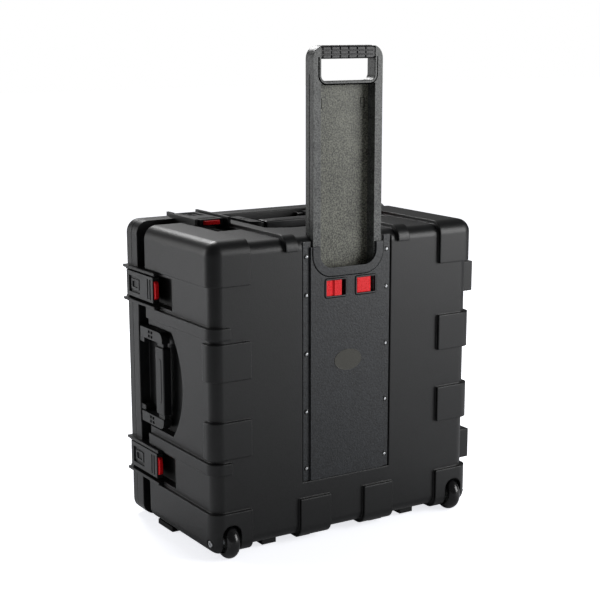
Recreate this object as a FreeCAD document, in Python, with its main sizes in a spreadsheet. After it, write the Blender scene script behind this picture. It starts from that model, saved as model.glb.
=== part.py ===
import FreeCAD, Part
import os
import re
import Sketcher

# Rolling tool box: a deep moulded base with a hinged lid, a pull-out trolley handle in a
# channel behind a screwed cover plate, two wheels, two carrying handles and four latches.
# Working frame while modelling: X across, Y from the trolley side (rear) to the lid (front),
# Z up from the underside of the shell. Every sub-part is then moved so that the origin is on
# the floor at the middle of the whole object.

doc = FreeCAD.newDocument("RollingToolBox")

# ---------------------------------------------------------------- driving dimensions
sheet = doc.addObject("Spreadsheet::Sheet", "Dims")
DIMENSIONS = {
    # overall
    "half_width": 349, "case_height": 690, "floor_gap": 12, "depth_middle": 202.5,
    "width_middle": 7,
    "shell_inset": 8, "shell_wall": 5, "shell_rear": -5, "shell_front": 297,
    "shell_round": 26, "block_rear": -13, "block_front": 293, "block_round": 30,
    # rear and side blocks
    "block_inner": 251, "block_wrap": 28, "top_block": 594, "low_block": 96,
    "mid_block_low": 45, "mid_block_high": 127, "bar_low": 136, "bar_high": 161.5,
    "bar_inner": 300, "bottom_block_in": 46, "bottom_block_out": 126, "bottom_block_top": 94,
    "top_rib_in": 133, "top_rib_out": 163, "top_rib_foot": 655,
    "pad_low": 170, "pad_high": 240, "pad_face": 370, "skid_half": 18, "skid_depth": 6,
    # neck, flange and cavity
    "neck_half": 322, "cavity_half": 316, "cavity_round": 20, "flange_half": 347,
    "flange_tall": 350, "flange_rear": 335.5, "seam": 364, "flange_round": 30,
    "recess_floor": 321,
    # lid
    "lid_gap": 0.8, "lid_rim": 388, "lid_front": 435, "dome_half": 324, "dome_tall": 336,
    "lid_wall": 5, "lid_rib": 4, "gasket_in": 325, "gasket_wide": 5, "gasket_deep": 3.2,
    # hinge
    "hinge_x": 358, "hinge_r": 7.5, "hinge_pin_r": 2.95, "hinge_bore_r": 3,
    "hinge_place": 200, "hinge_half": 45, "lid_knuckle_half": 18,
    # trolley and its channel
    "channel_half": 92, "channel_deep": 28.5, "channel_low": 60, "backing": 6,
    "plate_half": 115, "plate_low": 133, "plate_high": 672, "plate_thick": 3,
    "panel_half": 98, "panel_front": -8, "panel_skin": 3, "plate_gap": 3,
    "cut_half": 74, "cut_low": 611, "cut_round": 32, "arm_top": 660,
    "screw_x": 106, "screw_low": 161.5, "screw_step": 131, "screw_top": 639.5, "screw_r": 1.5,
    "trolley_half": 90, "trolley_front": -4, "trolley_back": 26, "trolley_top": 1087,
    "trolley_low": 457, "rail_in": 70, "tray_floor": 22, "tray_top": 1006,
    "window_low": 1012, "window_high": 1058, "window_round": 14, "trolley_round": 28,
    "heel_front": 0.8, "heel_tall": 84,
    # release buttons
    "release_z": 565.5, "release_half": 17, "slider_left": -57.5, "slider_right": -19,
    "push_left": 23, "push_right": 59, "slot_left": -58, "slot_right": -8,
    "well_left": 22, "well_right": 71,
    # badge
    "badge_half": 36, "badge_tall": 24, "badge_z": 400, "badge_thick": 0.8,
    # wheels
    "wheel_x": 303, "wheel_y": 10, "wheel_z": 28, "wheel_r": 40, "wheel_half": 16,
    "core_r": 24, "bearing_r": 11, "bearing_wide": 7, "axle_r": 3.95, "bearing_bore": 4,
    "well_half": 23, "arch_z": 46, "well_r": 46, "axle_head_r": 7.5,
    # handles
    "handle_pivot_y": 322, "handle_pivot_x": 339, "handle_half": 112, "handle_arm": 24,
    "handle_thick": 20, "grip_low": 212, "grip_high": 252, "recess_half": 120,
    "recess_left": 136, "recess_r": 171, "handle_pin_r": 3, "top_drop": 4,
    # latches
    "latch_place": 205, "latch_top_place": 200, "top_rise": 3, "lever_half": 29,
    "lever_in": 336, "lever_out": 352, "lever_tail": 250, "latch_axis_y": 382,
    "latch_axis_x": 344, "latch_pin_r": 2, "rib_gap": 35, "rib_thick": 6, "rib_rear": 235,
    "rib_in": 330, "rib_out": 356, "latch_recess_rear": 178, "notch_floor": 331,
    "sway_left": 9, "sway_right": 32,
    "trigger_half": 21, "trigger_rear": 243, "trigger_front": 262,
    # feet
    "foot_x": 300, "foot_half": 34, "foot_rear": 214, "foot_front": 286,
}
for row, (alias, value) in enumerate(DIMENSIONS.items(), start=1):
    sheet.set(f"A{row}", alias)
    sheet.set(f"B{row}", str(value))
    sheet.setAlias(f"B{row}", alias)
working = doc.addObject("Spreadsheet::Sheet", "Working")
doc.recompute()

WORD = re.compile(r"\b(" + "|".join(DIMENSIONS) + r")\b")
parts = {}


def formula(text):
    """The expression text with every alias pointed at the sheet."""
    return WORD.sub(r"Dims.\1", str(text))


def value(text):
    """The number that an expression in the sheet's aliases stands for."""
    working.set("A1", "=" + formula(text))
    working.recompute()
    return float(working.get("A1"))


def bind(obj, **sizes):
    """Binds properties such as Length, or Placement.Base.x as x, to expressions."""
    for name, text in sizes.items():
        path = "Placement.Base." + name if name in ("x", "y", "z") else name
        obj.setExpression(path, formula(text))
    return obj


# ---------------------------------------------------------------- building blocks
def block(name, x, y, z):
    """A box from (low, high) expression pairs along each axis."""
    obj = doc.addObject("Part::Box", name)
    spans = {"Length": x, "Width": y, "Height": z}
    bind(obj, **{key: f"({high}) - ({low})" for key, (low, high) in spans.items()})
    return bind(obj, x=x[0], y=y[0], z=z[0])


AXES = {"X": FreeCAD.Rotation(FreeCAD.Vector(0, 1, 0), 90),
        "Y": FreeCAD.Rotation(FreeCAD.Vector(1, 0, 0), -90),
        "Z": FreeCAD.Rotation()}


def rod(name, axis, radius, span, across):
    """A cylinder along an axis, over span = (low, high), centred at the two other places."""
    obj = doc.addObject("Part::Cylinder", name)
    obj.Placement.Rotation = AXES[axis]
    bind(obj, Radius=radius, Height=f"({span[1]}) - ({span[0]})")
    places = dict(zip([key for key in "xyz" if key != axis.lower()], across))
    places[axis.lower()] = span[0]
    return bind(obj, **places)


def fuse(name, *shapes):
    obj = doc.addObject("Part::MultiFuse", name)
    obj.Shapes = list(shapes)
    return obj


def cut(name, base, *tools):
    obj = doc.addObject("Part::Cut", name)
    obj.Base = base
    obj.Tool = tools[0] if len(tools) == 1 else fuse(name + "Tools", *tools)
    return obj


def common(name, first, second):
    obj = doc.addObject("Part::Common", name)
    obj.Base = first
    obj.Tool = second
    return obj


def slab(name, half, low, high, rear, front, radius, rounded_face=None):
    """A rectangle drawn in the XZ plane and padded along Y, with its long edges rounded.
    rounded_face is "rear" or "front" where that face's own edges are rounded as well."""
    body = doc.addObject("PartDesign::Body", name)
    sketch = body.newObject("Sketcher::SketchObject", name + "Outline")
    plane = [f for f in body.Origin.OriginFeatures if f.Role == "XZ_Plane"][0]
    sketch.AttachmentSupport = (plane, [""])
    sketch.MapMode = "FlatFace"
    corners = [(-1, 0), (1, 0), (1, 1), (-1, 1)]
    for first, second in zip(corners, corners[1:] + corners[:1]):
        sketch.addGeometry(Part.LineSegment(FreeCAD.Vector(*first, 0),
                                            FreeCAD.Vector(*second, 0)), False)
    for side in range(4):
        sketch.addConstraint(Sketcher.Constraint("Coincident", side, 2, (side + 1) % 4, 1))
        kind = "Horizontal" if side % 2 == 0 else "Vertical"
        sketch.addConstraint(Sketcher.Constraint(kind, side))
    for kind, edge, label, text in (("DistanceX", 0, "Left", f"-({half})"),
                                    ("DistanceX", 2, "Right", half),
                                    ("DistanceY", 0, "Low", low),
                                    ("DistanceY", 2, "High", high)):
        size = value(text)
        index = sketch.addConstraint(Sketcher.Constraint(kind, -1, 1, edge, 1, size))
        sketch.renameConstraint(index, label)
        sketch.setExpression("Constraints." + label, formula(text))
    sketch.setExpression("AttachmentOffset.Base.z", formula(f"-({rear})"))
    pad = body.newObject("PartDesign::Pad", name + "Pad")
    pad.Profile = sketch
    pad.Reversed = True
    pad.setExpression("Length", formula(f"({front}) - ({rear})"))
    doc.recompute()
    if radius:
        face_y = value(rear if rounded_face == "rear" else front)
        names = []
        for number, edge in enumerate(pad.Shape.Edges, start=1):
            ends = [vertex.Point for vertex in edge.Vertexes]
            along_y = abs(ends[0].y - ends[1].y) > 1e-6
            on_face = rounded_face and all(abs(end.y - face_y) < 1e-6 for end in ends)
            if along_y or on_face:
                names.append(f"Edge{number}")
        fillet = body.newObject("PartDesign::Fillet", name + "Rounds")
        fillet.Base = (pad, names)
        fillet.setExpression("Radius", formula(radius))
        body.Tip = fillet
    return body


def turned_profile(name, points, axis_point):
    """A closed profile of (distance along X, radius) points spun about an axis along X."""
    body = doc.addObject("PartDesign::Body", name)
    sketch = body.newObject("Sketcher::SketchObject", name + "Profile")
    plane = [f for f in body.Origin.OriginFeatures if f.Role == "XZ_Plane"][0]
    sketch.AttachmentSupport = (plane, [""])
    sketch.MapMode = "FlatFace"
    edges = []
    for first, second in zip(points, points[1:] + points[:1]):
        if len(second) == 4:
            middle = FreeCAD.Vector(second[2], second[3], 0)
            edges.append(Part.Arc(FreeCAD.Vector(*first[:2], 0), middle,
                                  FreeCAD.Vector(*second[:2], 0)))
        else:
            edges.append(Part.LineSegment(FreeCAD.Vector(*first[:2], 0),
                                          FreeCAD.Vector(*second[:2], 0)))
    for edge in edges:
        sketch.addGeometry(edge, False)
    spin = body.newObject("PartDesign::Revolution", name + "Spin")
    spin.Profile = sketch
    spin.ReferenceAxis = (sketch, ["H_Axis"])
    spin.Angle = 360
    bind(body, x=axis_point[0], y=axis_point[1], z=axis_point[2])
    return body


def compound(name, *shapes):
    obj = doc.addObject("Part::Compound", name)
    obj.Links = list(shapes)
    return obj


def at_station(obj, side, along, rise="0"):
    """Moves a piece drawn for the left side, centred on z = 0, to its place on the left
    side (along = its height) or the top (along = its place across, rise = how much higher
    than the middle of the case it sits, beyond its distance from the middle plane)."""
    moved = compound(obj.Name + "Placed", obj)
    if side == "left":
        return bind(moved, z=along)
    moved.Placement.Rotation = FreeCAD.Rotation(FreeCAD.Vector(0, 1, 0), 90)
    return bind(moved, x=along, z=f"case_height / 2 + ({rise})")


def keep(label, obj):
    """Marks an object as a finished sub-part: its Label names its file. It is moved from
    the modelling frame to the frame whose origin is on the floor below the middle."""
    bound = {path.lstrip("."): text for path, text in obj.ExpressionEngine}
    for axis, move in (("x", "-Dims.width_middle"), ("y", "-Dims.depth_middle"),
                       ("z", "Dims.floor_gap")):
        path = "Placement.Base." + axis
        now = bound.get(path, str(getattr(obj.Placement.Base, axis)))
        obj.setExpression(path, f"({now}) + ({move})")
    obj.Label = label
    parts[label] = obj
    return obj


MIDDLE = "case_height / 2"
LATCHES = {"latch_left_upper": ("left", MIDDLE + " + latch_place", "0"),
           "latch_left_lower": ("left", MIDDLE + " - latch_place", "0"),
           "latch_top_left": ("top", "-latch_top_place", "top_rise"),
           "latch_top_right": ("top", "latch_top_place", "top_rise")}
HANDLES = {"handle_left": ("left", MIDDLE, "0"), "handle_top": ("top", "0", "-top_drop")}
# A closed latch on the top drifts sideways as the lid opens, so its channel is wider there.
SWAY = {"latch_left_upper": "0", "latch_left_lower": "0",
        "latch_top_left": "sway_left", "latch_top_right": "sway_right"}
SIDES = {"left": -1, "right": 1}


def mirrored_span(sign, low, high):
    """A span on the +X side, or its mirror image on the -X side."""
    return (low, high) if sign > 0 else (f"-({high})", f"-({low})")


# ---------------------------------------------------------------- base shell
outer = slab("OuterShell", "half_width - shell_inset", "shell_inset",
             "case_height - shell_inset", "shell_rear", "shell_front", "shell_round", "rear")
armour = slab("BlockForm", "half_width", "0", "case_height", "block_rear", "block_front",
              "block_round", "rear")
far = "half_width + 20"
deep = ("block_rear - 20", "block_front + 20")
regions = []
for side, sign in SIDES.items():
    across = mirrored_span(sign, "block_inner", far)
    regions.append(block(f"TopBlock_{side}", across, deep, ("top_block", "case_height + 20")))
    regions.append(block(f"LowBlock_{side}", across, deep, ("-20", "low_block")))
    for level, turn in (("Upper", "+"), ("Lower", "-")):
        ends = [f"{MIDDLE} {turn} mid_block_low", f"{MIDDLE} {turn} mid_block_high"]
        tall = tuple(ends if turn == "+" else ends[::-1])
        wrap = ("block_rear - 20", "block_wrap")
        regions.append(block(f"MidBlock{level}_{side}", across, wrap, tall))
    regions.append(block(f"BottomBlock_{side}",
                         mirrored_span(sign, "bottom_block_in", "bottom_block_out"),
                         deep, ("-20", "bottom_block_top")))
    regions.append(block(f"TopRib_{side}", mirrored_span(sign, "top_rib_in", "top_rib_out"),
                         deep, ("top_rib_foot", "case_height + 20")))
for level, turn in (("Upper", "+"), ("Lower", "-")):
    ends = [f"{MIDDLE} {turn} bar_low", f"{MIDDLE} {turn} bar_high"]
    tall = tuple(ends if turn == "+" else ends[::-1])
    regions.append(block(f"Bar{level}", (f"-({far})", "-bar_inner"), deep, tall))
blocks = common("RaisedBlocks", armour, fuse("BlockRegions", *regions))

side_pads = []
for level, turn in (("Upper", "+"), ("Lower", "-")):
    ends = [f"{MIDDLE} {turn} pad_low", f"{MIDDLE} {turn} pad_high"]
    tall = tuple(ends if turn == "+" else ends[::-1])
    side_pads.append(block(f"SidePad{level}", ("half_width - 20", "pad_face"),
                           ("block_wrap - 10", "block_front"), tall))
skids = []
for side, sign in SIDES.items():
    for number, place in enumerate((100, 190)):
        skids.append(block(f"Skid{number}_{side}",
                           (f"{sign * place} - skid_half", f"{sign * place} + skid_half"),
                           ("22", "block_front"), ("-skid_depth", "shell_inset + 2")))

wide_cavity = slab("WideCavity", "half_width - shell_inset - shell_wall",
                   "shell_inset + shell_wall", "case_height - shell_inset - shell_wall",
                   "shell_rear + shell_wall", "shell_front - shell_wall",
                   "shell_round - 4", "rear")
skin = cut("Skin", fuse("SkinAndBlocks", outer, blocks, *side_pads, *skids), wide_cavity)

neck = slab("Neck", "neck_half", f"{MIDDLE} - neck_half", f"{MIDDLE} + neck_half",
            "shell_front - 8", "flange_rear + 4", "cavity_round + 4")
flange = slab("BaseFlange", "flange_half", f"{MIDDLE} - flange_tall",
              f"{MIDDLE} + flange_tall", "flange_rear", "seam", "flange_round")
narrow_cavity = slab("NarrowCavity", "cavity_half", f"{MIDDLE} - cavity_half",
                     f"{MIDDLE} + cavity_half", "0", "seam + 10", "cavity_round")


# Recesses for the handles and the latches, drawn for the left side at z = 0.
def handle_recess(name, grow):
    """The hand recess: a box with a curved rear edge, larger all round by grow."""
    tall = (f"-recess_half - {grow}", f"recess_half + {grow}")
    across = ("-half_width - 20", f"-recess_floor + {grow}")
    reach = block(name + "Reach", across, (f"recess_left - {grow}", "shell_front + 40"), tall)
    curve = rod(name + "Curve", "X", f"recess_r + {grow}", across, ("recess_left + recess_r", "0"))
    return common(name, reach, curve)


def latch_recess(name, grow):
    """The pocket that a latch's tail lies in."""
    return block(name + "Pocket" + grow, ("-half_width - 20", f"-recess_floor + {grow}"),
                 (f"latch_recess_rear - {grow}", "shell_front + 40"),
                 (f"-rib_gap - {SWAY[name]} - {grow}", f"rib_gap + {grow}"))


def flange_notch(name, rear, front, sway):
    """The gap in a flange that a latch passes through."""
    return block(name, ("-half_width - 20", "-notch_floor"), (rear, front),
                 (f"-rib_gap - {sway}", "rib_gap"))


def guard_ribs(name, rear, front, sway):
    """The two ribs each side of a latch."""
    low = (f"-rib_gap - {sway} - rib_thick", f"-rib_gap - {sway}")
    high = ("rib_gap", "rib_gap + rib_thick")
    return fuse(name, *[block(f"{name}_{end}", ("-rib_out", "-rib_in"), (rear, front), tall)
                        for end, tall in (("low", low), ("high", high))])


housings, pockets, lugs, base_ribs, notches = [], [], [], [], []
for name, place in HANDLES.items():
    housings.append(at_station(handle_recess(name + "Housing", "shell_wall"), *place))
    pockets.append(at_station(handle_recess(name + "Pocket", "0"), *place))
    ears = [block(f"{name}Ear_{sign + 1}", ("-handle_pivot_x - 6", "-recess_floor + 2"),
                  ("handle_pivot_y - 8", "flange_rear + 1"),
                  mirrored_span(sign, "handle_half - handle_arm - 13",
                                "handle_half - handle_arm - 1")) for sign in (-1, 1)]
    bore = rod(name + "EarBore", "Z", "handle_pin_r", ("-handle_half", "handle_half"),
               ("-handle_pivot_x", "handle_pivot_y"))
    lugs.append(at_station(cut(name + "Ears", fuse(name + "EarPair", *ears), bore), *place))
for name, place in LATCHES.items():
    housings.append(at_station(latch_recess(name, "shell_wall"), *place))
    pockets.append(at_station(latch_recess(name, "0"), *place))
    notches.append(at_station(flange_notch(name + "BaseNotch", "flange_rear - 10", "seam + 1",
                                           SWAY[name]), *place))
    base_ribs.append(at_station(guard_ribs(name + "BaseRibs", "rib_rear", "seam", SWAY[name]),
                                *place))
housing_limit = slab("HousingLimit", "half_width - shell_inset", "shell_inset",
                     "case_height - shell_inset", "0", "shell_front", "shell_round", "rear")
recess_walls = common("RecessWalls", fuse("Housings", *housings), housing_limit)

body = cut("HollowBody", fuse("BodyNeckFlange", skin, neck, flange, recess_walls),
           narrow_cavity)

channel = block("ChannelBox", ("-plate_half - 9", "plate_half + 9"),
                ("0", "channel_deep + backing"), ("channel_low - backing", "668"))
channel_top = block("ChannelTop", ("-plate_half - 9", "plate_half + 9"),
                    ("8", "channel_deep + backing"), ("channel_low - backing", "676"))
channel_room = block("ChannelRoom", ("-channel_half", "channel_half"),
                     ("0", "channel_deep"), ("channel_low", "case_height + 20"))
plate_seat = block("PlateSeat", ("-plate_half - plate_gap", "plate_half + plate_gap"),
                   ("block_rear - 10", "0"), ("plate_low - 2", "case_height + 20"))
pilots = []
for side, sign in SIDES.items():
    for number in range(4):
        pilots.append(rod(f"Pilot{number}_{side}", "Y", "screw_r", ("-1", "backing - 1"),
                          (f"{sign} * screw_x", f"screw_low + {number} * screw_step")))
    pilots.append(rod(f"PilotTop_{side}", "Y", "screw_r", ("-1", "backing - 1"),
                      (f"{sign} * screw_x", "screw_top")))

wells, well_rooms, axle_bores = [], [], []
for side, sign in SIDES.items():
    middle = f"{sign} * wheel_x"
    wells.append(block(f"WellBox_{side}", (f"{middle} - well_half - 8", f"{middle} + well_half + 8"),
                       ("0", "wheel_y + well_r + 6"), ("shell_inset + 1", "wheel_z + well_r + 4")))
    arch = fuse(f"Arch_{side}",
                block(f"ArchFoot_{side}", (f"{middle} - well_half", f"{middle} + well_half"),
                      ("block_rear - 10", "wheel_y + well_r"), ("-30", "arch_z")),
                rod(f"ArchTop_{side}", "Y", "well_half", ("block_rear - 10", "wheel_y + well_r"),
                    (middle, "arch_z")))
    sweep = fuse(f"Sweep_{side}",
                 rod(f"SweepRound_{side}", "X", "well_r",
                     (f"{middle} - well_half - 2", f"{middle} + well_half + 2"),
                     ("wheel_y", "wheel_z")),
                 block(f"SweepFoot_{side}", (f"{middle} - well_half - 2", f"{middle} + well_half + 2"),
                       ("wheel_y - well_r", "wheel_y + well_r"), ("-30", "wheel_z")))
    well_rooms.append(common(f"WellRoom_{side}", arch, sweep))
    bore_span = mirrored_span(sign, "wheel_x - well_half - 12", "half_width + 5")
    head_span = mirrored_span(sign, "half_width - 6", "half_width + 5")
    axle_bores.append(rod(f"AxleBore_{side}", "X", "axle_r", bore_span, ("wheel_y", "wheel_z")))
    axle_bores.append(rod(f"AxleSink_{side}", "X", "axle_head_r + 1", head_span,
                          ("wheel_y", "wheel_z")))


# Hinge on the right side, at the seam, with its axis along Z.
def knuckle(name, low, high, rear, front):
    """One hinge knuckle and the arm that carries it from the flange."""
    barrel = rod(name + "Barrel", "Z", "hinge_r", (low, high), ("hinge_x", "seam + lid_gap / 2"))
    arm = block(name + "Arm", ("flange_half - 6", "hinge_x + 2"), (rear, front), (low, high))
    return fuse(name, barrel, arm)


base_knuckles, lid_knuckles, hinge_bores = [], [], []
for level, turn in (("Upper", "+"), ("Lower", "-")):
    centre = f"{MIDDLE} {turn} hinge_place"
    for end, low, high in (("A", "-hinge_half", "-lid_knuckle_half - 0.5"),
                           ("B", "lid_knuckle_half + 0.5", "hinge_half")):
        base_knuckles.append(knuckle(f"BaseKnuckle{level}{end}", f"{centre} + ({low})",
                                     f"{centre} + ({high})", "seam - 12", "seam"))
    lid_knuckles.append(knuckle(f"LidKnuckle{level}", f"{centre} - lid_knuckle_half",
                                f"{centre} + lid_knuckle_half", "seam + lid_gap", "seam + 13"))
    hinge_bores.append(rod(f"HingeBore{level}", "Z", "hinge_bore_r",
                           (f"{centre} - hinge_half - 1", f"{centre} + hinge_half + 1"),
                           ("hinge_x", "seam + lid_gap / 2")))
hinge_bore_all = fuse("HingeBores", *hinge_bores)
foot_sockets = [block(f"FootSocket_{side}", (f"{sign} * foot_x - 8", f"{sign} * foot_x + 8"),
                      ("foot_rear + 20", "foot_front - 20"), ("-10", "4"))
                for side, sign in SIDES.items()]

full_body = fuse("FullBody", body, channel, channel_top, *wells)
opened = cut("OpenedBody", full_body, *pockets, *notches, channel_room, plate_seat, *pilots,
             *well_rooms, *axle_bores, *foot_sockets)
shell = cut("BaseShell", fuse("BaseWithLugs", opened, *lugs, *base_ribs, *base_knuckles),
            hinge_bore_all)
keep("base_shell", shell)

# ---------------------------------------------------------------- lid
lid_flange = slab("LidFlange", "flange_half", f"{MIDDLE} - flange_tall",
                  f"{MIDDLE} + flange_tall", "seam + lid_gap", "lid_rim", "flange_round")
dome = slab("LidDome", "dome_half", f"{MIDDLE} - dome_tall", f"{MIDDLE} + dome_tall",
            "lid_rim - 6", "lid_front - lid_rib", "shell_round", "front")
lid_room = slab("LidRoom", "dome_half - lid_wall", f"{MIDDLE} - dome_tall + lid_wall",
                f"{MIDDLE} + dome_tall - lid_wall", "seam + 9",
                "lid_front - lid_rib - lid_wall", "shell_round - lid_wall", "front")
lid_mouth = slab("LidMouth", "cavity_half", f"{MIDDLE} - cavity_half",
                 f"{MIDDLE} + cavity_half", "seam", "seam + 12", "cavity_round")
groove_out = slab("GrooveOut", "gasket_in + gasket_wide", f"{MIDDLE} - gasket_in - gasket_wide",
                  f"{MIDDLE} + gasket_in + gasket_wide", "seam", "seam + lid_gap + gasket_deep",
                  "cavity_round + 12")
groove_in = slab("GrooveIn", "gasket_in", f"{MIDDLE} - gasket_in", f"{MIDDLE} + gasket_in",
                 "seam - 1", "seam + lid_gap + gasket_deep + 1", "cavity_round + 7")
groove = cut("GasketGroove", groove_out, groove_in)
lid_ribs, lid_bores, lid_notches = [], [], []
for name, place in LATCHES.items():
    ribs = guard_ribs(name + "LidRibs", "seam + lid_gap", "lid_rim + 6", "0")
    lugs = [block(f"{name}Lug_{sign + 1}", ("-latch_axis_x - 7", "-dome_half + 2"),
                  ("latch_axis_y - 7", "lid_rim + 2"),
                  mirrored_span(sign, "lever_half + 1.5", "rib_gap + 1")) for sign in (-1, 1)]
    feet = [block(f"{name}RibFoot_{sign + 1}", ("-flange_half", "-dome_half + 2"),
                  ("lid_rim - 1", "lid_rim + 6"),
                  mirrored_span(sign, "rib_gap", "rib_gap + rib_thick")) for sign in (-1, 1)]
    lid_ribs.append(at_station(fuse(name + "RibSet", ribs, *lugs, *feet), *place))
    lid_bores.append(at_station(rod(name + "PinBore", "Z", "latch_pin_r",
                                    ("-rib_gap - rib_thick - 1", "rib_gap + rib_thick + 1"),
                                    ("-latch_axis_x", "latch_axis_y")), *place))
    lid_notches.append(at_station(flange_notch(name + "LidNotch", "seam", "lid_rim + 20", "0"),
                                  *place))
lid_beads = [block(f"LidBead{number}", (f"{number} * 190 - 28", f"{number} * 190 + 28"),
                   ("lid_front - lid_rib - 1", "lid_front"), ("60", "case_height - 60"))
             for number in (-1, 0, 1)]
lid_body = cut("LidHollow", fuse("LidOuter", lid_flange, dome, *lid_beads), lid_room, lid_mouth,
               groove, *lid_notches)
lid = fuse("LidSolid", lid_body, *lid_ribs, *lid_knuckles)
keep("lid_shell", cut("LidShell", lid, hinge_bore_all, *lid_bores))

seal_out = slab("SealOut", "gasket_in + gasket_wide", f"{MIDDLE} - gasket_in - gasket_wide",
                f"{MIDDLE} + gasket_in + gasket_wide", "seam + 0.35",
                "seam + lid_gap + gasket_deep", "cavity_round + 12")
keep("lid_gasket", cut("LidGasket", seal_out, groove_in))

# ---------------------------------------------------------------- hinge pins
pins = []
for level, turn in (("Upper", "+"), ("Lower", "-")):
    centre = f"{MIDDLE} {turn} hinge_place"
    pins.append(rod(f"HingePin{level}", "Z", "hinge_pin_r",
                    (f"{centre} - hinge_half", f"{centre} + hinge_half"),
                    ("hinge_x", "seam + lid_gap / 2")))
keep("hinge_pins", fuse("HingePins", *pins))

# ---------------------------------------------------------------- trolley cover plate
strip = block("PlateStrip", ("-plate_half", "plate_half"), ("-plate_thick", "0"),
              ("plate_low", "plate_high"))
panel = block("PlatePanel", ("-panel_half", "panel_half"), ("panel_front", "0"),
              ("plate_low", "arm_top"))
hollow = block("PanelHollow", ("-panel_half + panel_skin", "panel_half - panel_skin"),
               ("panel_front + panel_skin", "1"), ("plate_low + 4", "plate_high + 1"))
cutout = fuse("HandCutout",
              block("CutWide", ("-cut_half", "cut_half"), ("-20", "5"),
                    ("cut_low + cut_round", "plate_high + 10")),
              block("CutLow", ("-cut_half + cut_round", "cut_half - cut_round"), ("-20", "5"),
                    ("cut_low", "cut_low + cut_round + 1")),
              *[rod(f"CutCorner_{side}", "Y", "cut_round", ("-20", "5"),
                    (f"{sign} * (cut_half - cut_round)", "cut_low + cut_round"))
                for side, sign in SIDES.items()])
middle_top = block("PanelTopOpen", ("-panel_half", "panel_half"), ("-20", "5"),
                   ("arm_top", "plate_high + 10"))
slots = [block("SliderSlot", ("slot_left", "slot_right"), ("-20", "5"),
               ("release_z - release_half - 0.5", "release_z + release_half + 0.5")),
         block("PushWell", ("well_left", "well_right"), ("-20", "5"),
               ("release_z - release_half - 0.5", "release_z + release_half + 0.5"))]
screw_holes = []
for side, sign in SIDES.items():
    for number in range(4):
        screw_holes.append(rod(f"PlateHole{number}_{side}", "Y", "screw_r + 0.2", ("-10", "1"),
                               (f"{sign} * screw_x", f"screw_low + {number} * screw_step")))
    screw_holes.append(rod(f"PlateHoleTop_{side}", "Y", "screw_r + 0.2", ("-10", "1"),
                           (f"{sign} * screw_x", "screw_top")))
keep("trolley_cover", cut("TrolleyCover", fuse("PlateSolid", strip, panel), hollow, cutout,
                          middle_top, *slots, *screw_holes))

screws = []
for side, sign in SIDES.items():
    for number in range(5):
        height = f"screw_low + {number} * screw_step" if number < 4 else "screw_top"
        at = (f"{sign} * screw_x", height)
        head = rod(f"ScrewHead{number}_{side}", "Y", "screw_r * 2.3",
                   ("-plate_thick - 2", "-plate_thick"), at)
        shank = rod(f"ScrewShank{number}_{side}", "Y", "screw_r",
                    ("-plate_thick - 0.5", "backing - 1"), at)
        screws.append(fuse(f"Screw{number}_{side}", head, shank))
keep("cover_screws", fuse("CoverScrews", *screws))

oval = doc.addObject("Part::Ellipse", "BadgeOutline")
bind(oval, MajorRadius="badge_half", MinorRadius="badge_tall")
oval.Placement.Rotation = FreeCAD.Rotation(FreeCAD.Vector(1, 0, 0), 90)
bind(oval, y="panel_front", z="badge_z")
badge = doc.addObject("Part::Extrusion", "Badge")
badge.Base = oval
badge.DirMode = "Custom"
badge.Dir = FreeCAD.Vector(0, -1, 0)
badge.Solid = True
bind(badge, LengthFwd="badge_thick")
keep("blank_badge", badge)

keep("channel_guides", fuse("ChannelGuides", *[
    block(f"Guide_{side}", mirrored_span(sign, "trolley_half + 0.4", "channel_half"),
          ("1", "channel_deep - 4"), ("560", "655")) for side, sign in SIDES.items()]))

# ---------------------------------------------------------------- release buttons
slider_form = fuse("SliderForm",
              block("SliderCap", ("slider_left", "slider_right"), ("panel_front - 0.5", "-4.4"),
                    ("release_z - release_half", "release_z + release_half")),
              block("SliderRidge", ("slider_left + 15", "slider_right"),
                    ("panel_front - 2.5", "panel_front"),
                    ("release_z - release_half", "release_z + release_half")),
              block("SliderFlange", ("slider_left - 4", "slider_right + 4"), ("-4.5", "-2"),
                    ("release_z - release_half - 4", "release_z + release_half + 4")),
              block("SliderBoss", ("slider_left - 2", "slider_left + 12"), ("-2.2", "6"),
                    ("release_z - 5", "release_z + 5")))
lock_line = ("2", "release_z")
lock_span = ("slider_left - 11", "slider_left + 12")
slider = cut("Slider", slider_form, rod("LockBore", "X", "2.5", lock_span, lock_line))
keep("lock_slider", slider)
keep("lock_pin", rod("LockPin", "X", "2.5", lock_span, lock_line))
push = fuse("Push",
            block("PushCap", ("push_left", "push_right"), ("panel_front - 0.5", "-4.4"),
                  ("release_z - release_half", "release_z + release_half")),
            block("PushFlange", ("push_left - 4", "push_right + 4"), ("-4.5", "-2"),
                  ("release_z - release_half - 4", "release_z + release_half + 4")))
keep("release_button", push)
keep("release_plunger", rod("ReleasePlunger", "Y", "4", ("-2", "12"),
                            ("(push_left + push_right) / 2", "release_z")))

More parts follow.
